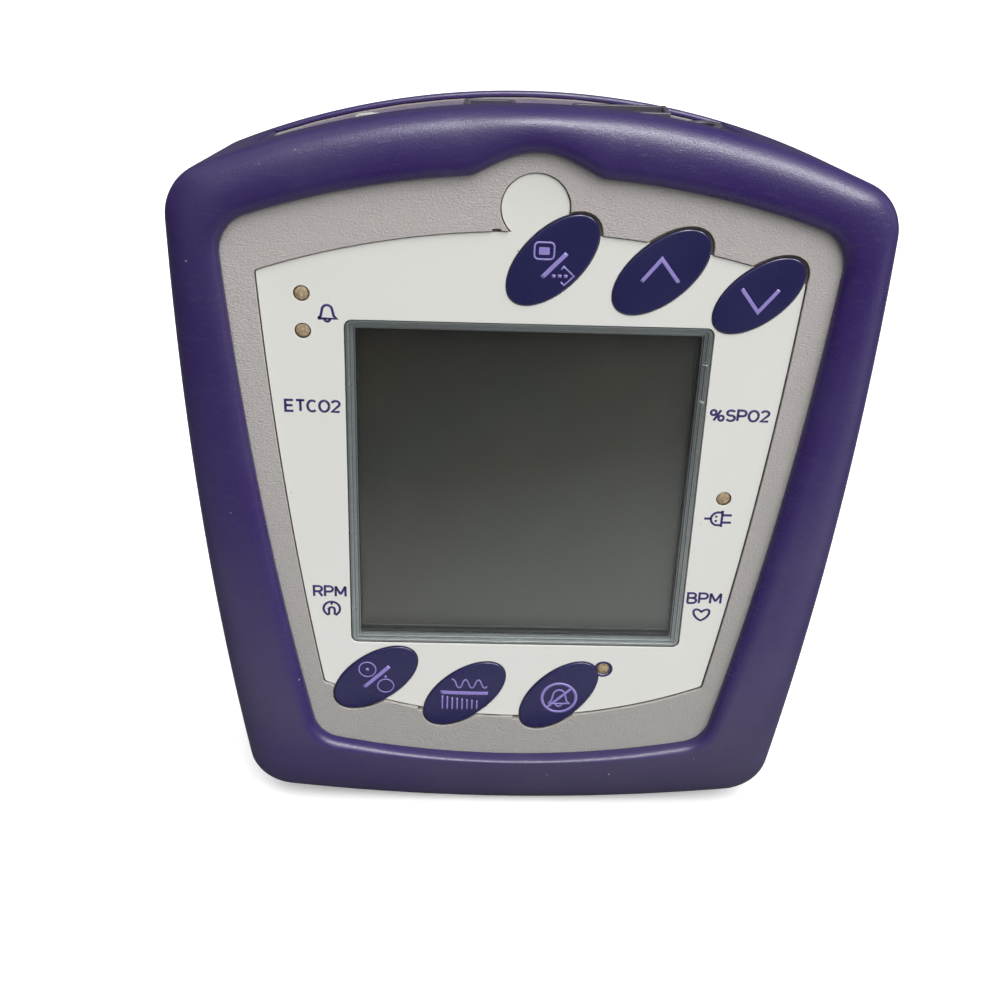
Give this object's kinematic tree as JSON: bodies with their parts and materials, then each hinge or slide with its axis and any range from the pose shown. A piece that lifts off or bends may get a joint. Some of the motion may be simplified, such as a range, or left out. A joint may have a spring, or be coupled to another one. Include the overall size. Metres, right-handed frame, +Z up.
{
  "type": "bedside breath-gas and pulse monitor",
  "caption": "Portable patient monitor for breath gas and pulse: shield-shaped case in a purple rubber boot, white membrane panel, fanned oval keys, square display.",
  "frame": {"origin": "on the surface it stands on, under the middle of its box", "axes": "+Z up along the face, -Y out of the display towards the user, +X to the user's right"},
  "size_m": [0.1916, 0.054, 0.2204],
  "materials": {
    "boot_rubber": "satin purple moulded rubber, scuffed",
    "case_grey": "fine pebble texture, warm grey",
    "panel_white": "off-white printed membrane",
    "key_navy": "glossy navy print under a clear film",
    "clear_lens": "clear moulded window",
    "lamp_amber": "unlit tinted light pipe",
    "foam": "black closed-cell foam",
    "steel": "plated steel",
    "display_glass": "unlit olive liquid-crystal cell",
    "diffuser": "white light guide",
    "circuit_board": "green solder mask",
    "black_plastic": "black moulding",
    "brass": "turned brass",
    "port_white": "white nylon",
    "silicone": "translucent silicone tube",
    "battery_wrap": "blue shrink wrap",
    "label": "plain silver-white label with nothing printed on it"
  },
  "bodies": {
    "housing": {"boot": "boot_rubber", "front_bezel": "case_grey", "rear_case": "case_grey", "case_seal": "foam", "membrane_panel": "panel_white", "window_lens": "clear_lens", "lens_gasket": "foam", "display_frame": "steel", "display_glass": "display_glass", "display_backlight": "diffuser", "keypad_board": "circuit_board", "main_board": "circuit_board", "gas_bench": "black_plastic", "sample_pump": "steel", "speaker": "black_plastic", "sample_port": "port_white", "exhaust_port": "black_plastic", "sensor_socket": "black_plastic", "data_socket": "black_plastic", "power_socket": "black_plastic", "sample_tube": "silicone", "pump_tube": "silicone", "exhaust_tube": "silicone", "battery_pack": "battery_wrap", "battery_contacts": "black_plastic", "rating_label": "label", "switch_menu": "steel", "switch_up": "steel", "switch_down": "steel", "switch_power": "steel", "switch_waveform": "steel", "switch_alarm_silence": "steel", "lamp_alarm_high": "lamp_amber", "lamp_alarm_low": "lamp_amber", "lamp_mains": "lamp_amber", "lamp_silence": "lamp_amber", "case_screw_upper_left": "steel", "board_screw_upper_left": "steel", "case_screw_upper_right": "steel", "board_screw_upper_right": "steel", "case_screw_lower_left": "steel", "board_screw_lower_left": "steel", "case_screw_lower_right": "steel", "board_screw_lower_right": "steel"},
    "key_menu": {"key_menu": "key_navy"},
    "key_up": {"key_up": "key_navy"},
    "key_down": {"key_down": "key_navy"},
    "key_power": {"key_power": "key_navy"},
    "key_waveform": {"key_waveform": "key_navy"},
    "key_alarm_silence": {"key_alarm_silence": "key_navy"},
    "battery_door": {"battery_door": "case_grey"},
    "pump_rotor": {"pump_rotor": "brass"}
  },
  "joints": [
    {"name": "press_menu", "type": "slide", "parent": "housing", "child": "key_menu", "axis": [0, 1, 0], "range_m": [0, 0.0005], "stiffness_N_per_m": 800, "springref_m": -0.0005},
    {"name": "press_up", "type": "slide", "parent": "housing", "child": "key_up", "axis": [0, 1, 0], "range_m": [0, 0.0005], "stiffness_N_per_m": 800, "springref_m": -0.0005},
    {"name": "press_down", "type": "slide", "parent": "housing", "child": "key_down", "axis": [0, 1, 0], "range_m": [0, 0.0005], "stiffness_N_per_m": 800, "springref_m": -0.0005},
    {"name": "press_power", "type": "slide", "parent": "housing", "child": "key_power", "axis": [0, 1, 0], "range_m": [0, 0.0005], "stiffness_N_per_m": 800, "springref_m": -0.0005},
    {"name": "press_waveform", "type": "slide", "parent": "housing", "child": "key_waveform", "axis": [0, 1, 0], "range_m": [0, 0.0005], "stiffness_N_per_m": 800, "springref_m": -0.0005},
    {"name": "press_alarm_silence", "type": "slide", "parent": "housing", "child": "key_alarm_silence", "axis": [0, 1, 0], "range_m": [0, 0.0005], "stiffness_N_per_m": 800, "springref_m": -0.0005},
    {"name": "door_open", "type": "hinge", "parent": "housing", "child": "battery_door", "pos_m": [0, 0.0245, 0.0185], "axis": [-1, 0, 0], "range_deg": [0, 90]},
    {"name": "pump_spin", "type": "hinge", "parent": "housing", "child": "pump_rotor", "pos_m": [0.03, 0.0041, 0.179], "axis": [1, 0, 0], "continuous": true}
  ]
}
